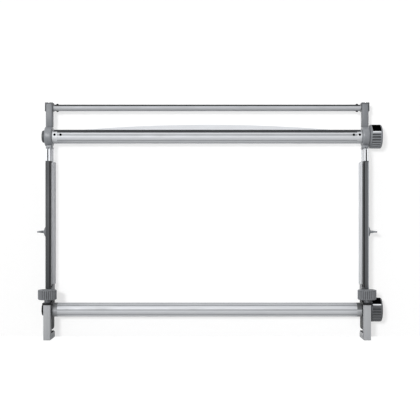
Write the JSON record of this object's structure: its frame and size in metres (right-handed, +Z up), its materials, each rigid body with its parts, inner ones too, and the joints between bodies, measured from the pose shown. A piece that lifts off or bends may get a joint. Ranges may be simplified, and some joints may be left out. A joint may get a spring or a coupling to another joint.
{
  "type": "rug tufting frame",
  "caption": "Rug tufting frame that clamps to a table edge: cloth rollers with winding knobs between telescoping side posts, under a yarn rail on short arms.",
  "frame": {"origin": "middle of the bounding box in plan, at the soles of the foot brackets", "axes": "+X to the right as the user faces the frame, along the rollers; +Y away from the user; +Z up"},
  "size_m": [0.7914, 0.0788, 0.5435],
  "materials": {
    "satin_aluminium": "satin, fine lengthwise brushing",
    "bright_aluminium": "bright extruded, faint die lines",
    "dark_anodised": "dark grey anodised, satin",
    "grey_plastic": "fine moulded texture",
    "grey_paint": "die casting, grey paint",
    "dark_plastic": "fine moulded texture",
    "black_plastic": "fine moulded texture",
    "bush_plastic": "smooth bearing plastic",
    "gloss_black": "glossy",
    "rubber": "matt",
    "steel": "plated",
    "black_steel": "black oxide",
    "brass": "turned",
    "white_cloth": "plain weave"
  },
  "bodies": {
    "lower_frame": {"left_lower_housing": "black_plastic", "left_lower_bush": "bush_plastic", "left_outer_post": "dark_anodised", "left_side_rail": "satin_aluminium", "left_upper_jaw_pad": "rubber", "left_lock_boss": "grey_plastic", "right_lower_housing": "black_plastic", "right_lower_bush": "bush_plastic", "right_outer_post": "dark_anodised", "right_side_rail": "satin_aluminium", "right_upper_jaw_pad": "rubber", "right_lock_boss": "grey_plastic"},
    "left_foot": {"left_foot_bracket": "satin_aluminium", "left_jaw_pad": "rubber"},
    "left_clamp": {"left_clamp_knob": "grey_plastic", "left_clamp_screw": "steel", "left_clamp_clip": "black_steel"},
    "left_lock_pad_body": {"left_lock_pad": "brass"},
    "left_wing": {"left_wing_screw": "grey_paint"},
    "right_foot": {"right_foot_bracket": "satin_aluminium", "right_jaw_pad": "rubber"},
    "right_clamp": {"right_clamp_knob": "grey_plastic", "right_clamp_screw": "steel", "right_clamp_clip": "black_steel"},
    "right_lock_pad_body": {"right_lock_pad": "brass"},
    "right_wing": {"right_wing_screw": "grey_paint"},
    "upper_frame": {"left_inner_slide": "bright_aluminium", "left_upper_housing": "grey_plastic", "left_upper_bush": "bush_plastic", "left_arm": "grey_plastic", "left_arm_cap": "dark_plastic", "left_rail_rivet": "black_steel", "right_inner_slide": "bright_aluminium", "right_upper_housing": "grey_plastic", "right_upper_bush": "bush_plastic", "right_arm": "grey_plastic", "right_arm_cap": "dark_plastic", "right_rail_rivet": "black_steel", "yarn_rail": "bright_aluminium"},
    "lower_roller_set": {"lower_roller": "bright_aluminium", "lower_grip_inlay": "rubber", "lower_left_plug": "black_plastic", "lower_right_plug": "black_plastic", "lower_end_disc": "dark_plastic", "lower_knob": "dark_plastic", "lower_knob_window": "gloss_black", "lower_knob_screw": "black_steel"},
    "upper_roller_set": {"upper_roller": "bright_aluminium", "upper_grip_inlay": "rubber", "upper_left_plug": "black_plastic", "upper_right_plug": "black_plastic", "upper_end_disc": "dark_plastic", "upper_knob": "dark_plastic", "upper_knob_window": "gloss_black", "upper_knob_screw": "black_steel", "cloth_leader": "white_cloth", "left_outer_set_screw": "black_steel", "left_inner_set_screw": "black_steel", "right_outer_set_screw": "black_steel", "right_inner_set_screw": "black_steel"}
  },
  "joints": [
    {"name": "frame_height", "type": "slide", "parent": "lower_frame", "child": "upper_frame", "axis": [0, 0, 1], "range_m": [-0.025, 0.09]},
    {"name": "lower_roller_turn", "type": "hinge", "parent": "lower_frame", "child": "lower_roller_set", "pos_m": [-0.0058, 0.0119, 0.066], "axis": [1, 0, 0], "continuous": true},
    {"name": "upper_roller_turn", "type": "hinge", "parent": "upper_frame", "child": "upper_roller_set", "pos_m": [-0.0058, 0.0119, 0.4655], "axis": [1, 0, 0], "continuous": true},
    {"name": "left_clamp_knob_turn", "type": "hinge", "parent": "lower_frame", "child": "left_clamp", "pos_m": [-0.3698, -0.0181, 0.1032], "axis": [0, 0, 1], "range_deg": [0, 3600]},
    {"name": "left_foot_slide", "type": "slide", "parent": "lower_frame", "child": "left_foot", "axis": [0, 0, 1], "range_m": [-0.03, 0]},
    {"name": "left_lock_pad_slide", "type": "slide", "parent": "lower_frame", "child": "left_lock_pad_body", "axis": [-1, 0, 0], "range_m": [0, 0.002]},
    {"name": "left_wing_screw_turn", "type": "hinge", "parent": "left_lock_pad_body", "child": "left_wing", "pos_m": [-0.3808, -0.0009, 0.246], "axis": [-1, 0, 0], "range_deg": [0, 720]},
    {"name": "right_clamp_knob_turn", "type": "hinge", "parent": "lower_frame", "child": "right_clamp", "pos_m": [0.3582, -0.0181, 0.1032], "axis": [0, 0, 1], "range_deg": [0, 3600]},
    {"name": "right_foot_slide", "type": "slide", "parent": "lower_frame", "child": "right_foot", "axis": [0, 0, 1], "range_m": [-0.03, 0]},
    {"name": "right_lock_pad_slide", "type": "slide", "parent": "lower_frame", "child": "right_lock_pad_body", "axis": [1, 0, 0], "range_m": [0, 0.002]},
    {"name": "right_wing_screw_turn", "type": "hinge", "parent": "right_lock_pad_body", "child": "right_wing", "pos_m": [0.3692, -0.0009, 0.246], "axis": [1, 0, 0], "range_deg": [0, 720]}
  ],
  "couplings": [
    {"joint": "left_foot_slide", "follows": "left_clamp_knob_turn", "m_per_rad": -0.00047746},
    {"joint": "left_lock_pad_slide", "follows": "left_wing_screw_turn", "m_per_rad": 0.00015915},
    {"joint": "right_foot_slide", "follows": "right_clamp_knob_turn", "m_per_rad": -0.00047746},
    {"joint": "right_lock_pad_slide", "follows": "right_wing_screw_turn", "m_per_rad": 0.00015915}
  ]
}
